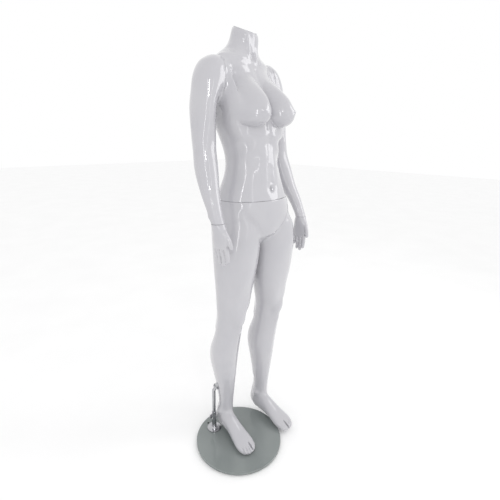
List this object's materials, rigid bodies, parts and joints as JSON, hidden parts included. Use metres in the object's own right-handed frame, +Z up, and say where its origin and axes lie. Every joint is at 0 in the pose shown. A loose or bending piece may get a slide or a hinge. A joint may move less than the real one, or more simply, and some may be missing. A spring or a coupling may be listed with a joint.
{
  "type": "full body mannequin",
  "caption": "Headless female display figure in gloss lacquer, with detachable torso, arms, hands and leg, on a round glass base with a bent calf rod.",
  "frame": {"origin": "centre of the round base, on the surface that it stands on", "axes": "+Z up, the figure faces -Y, its right side is -X"},
  "size_m": [0.525, 0.34, 1.5198],
  "materials": {
    "lacquer": "gloss",
    "glass": "polished",
    "chrome": "polished",
    "steel": "satin",
    "rubber": "matt",
    "inner_plate": "matt"
  },
  "bodies": {
    "base": {"glass_base": "glass", "base_bumpers": "rubber", "flange_gasket": "rubber", "rod_flange": "chrome", "rod_socket": "chrome", "flange_screws": "steel", "under_washer": "rubber", "under_plate": "steel"},
    "thumb_screw": {"thumb_screw": "chrome"},
    "rod": {"calf_rod": "chrome"},
    "lower_body": {"calf_ferrule": "chrome", "calf_tube": "steel", "lower_body_shell": "lacquer", "pelvis_waist_plate": "inner_plate", "waist_socket": "steel", "pelvis_hip_plate": "inner_plate", "hip_keyhole_plate": "steel"},
    "left_leg": {"left_leg_shell": "lacquer", "thigh_plate": "inner_plate", "hip_studs": "steel"},
    "torso": {"torso_shell": "lacquer", "torso_waist_plate": "inner_plate", "waist_spigot": "steel", "waist_screws": "steel", "neck_cap": "lacquer", "torso_shoulder_plate_right": "inner_plate", "torso_shoulder_plate_left": "inner_plate", "shoulder_socket_right": "steel", "shoulder_socket_left": "steel"},
    "right_insert": {"shoulder_insert_right": "chrome"},
    "left_insert": {"shoulder_insert_left": "chrome"},
    "right_arm": {"arm_shell_right": "lacquer", "arm_plate_right": "inner_plate", "arm_spigot_right": "steel", "wrist_plate_right": "inner_plate", "wrist_socket_right": "steel"},
    "left_arm": {"arm_shell_left": "lacquer", "arm_plate_left": "inner_plate", "arm_spigot_left": "steel", "wrist_plate_left": "inner_plate", "wrist_socket_left": "steel"},
    "right_hand": {"hand_right": "lacquer", "hand_plate_right": "inner_plate", "wrist_spigot_right": "steel"},
    "left_hand": {"hand_left": "lacquer", "hand_plate_left": "inner_plate", "wrist_spigot_left": "steel"}
  },
  "joints": [
    {"name": "thumb_screw_turn", "type": "hinge", "parent": "base", "child": "thumb_screw", "pos_m": [-0.034, 0.109, 0.083], "axis": [-1, 0, 0], "range_deg": [0, 720]},
    {"name": "rod_height", "type": "slide", "parent": "base", "child": "rod", "axis": [0, 0, 1], "range_m": [0, 0.06]},
    {"name": "figure_lift", "type": "slide", "parent": "rod", "child": "lower_body", "axis": [0.4176, -0.3262, 0.848], "range_m": [0, 0.045]},
    {"name": "torso_lift", "type": "slide", "parent": "lower_body", "child": "torso", "axis": [0, 0, 1], "range_m": [0, 0.05]},
    {"name": "left_leg_slide", "type": "slide", "parent": "lower_body", "child": "left_leg", "axis": [0, -1, 0], "range_m": [0, 0.04]},
    {"name": "right_arm_turn", "type": "hinge", "parent": "torso", "child": "right_insert", "pos_m": [-0.0536, 0.069, 1.35], "axis": [-0.995, 0, 0.0995], "range_deg": [-30, 90]},
    {"name": "left_arm_turn", "type": "hinge", "parent": "torso", "child": "left_insert", "pos_m": [0.2176, 0.085, 1.35], "axis": [-0.995, 0, -0.0995], "range_deg": [-30, 90]},
    {"name": "right_arm_pull", "type": "slide", "parent": "right_insert", "child": "right_arm", "axis": [-0.995, 0, 0.0995], "range_m": [0, 0.04]},
    {"name": "left_arm_pull", "type": "slide", "parent": "left_insert", "child": "left_arm", "axis": [0.995, 0, 0.0995], "range_m": [0, 0.04]},
    {"name": "right_wrist_turn", "type": "hinge", "parent": "right_arm", "child": "right_hand", "pos_m": [-0.13, -0.017, 0.93], "axis": [0, 0, 1], "range_deg": [-90, 90]},
    {"name": "left_wrist_turn", "type": "hinge", "parent": "left_arm", "child": "left_hand", "pos_m": [0.332, -0.017, 0.886], "axis": [0, 0, 1], "range_deg": [-90, 90]}
  ]
}
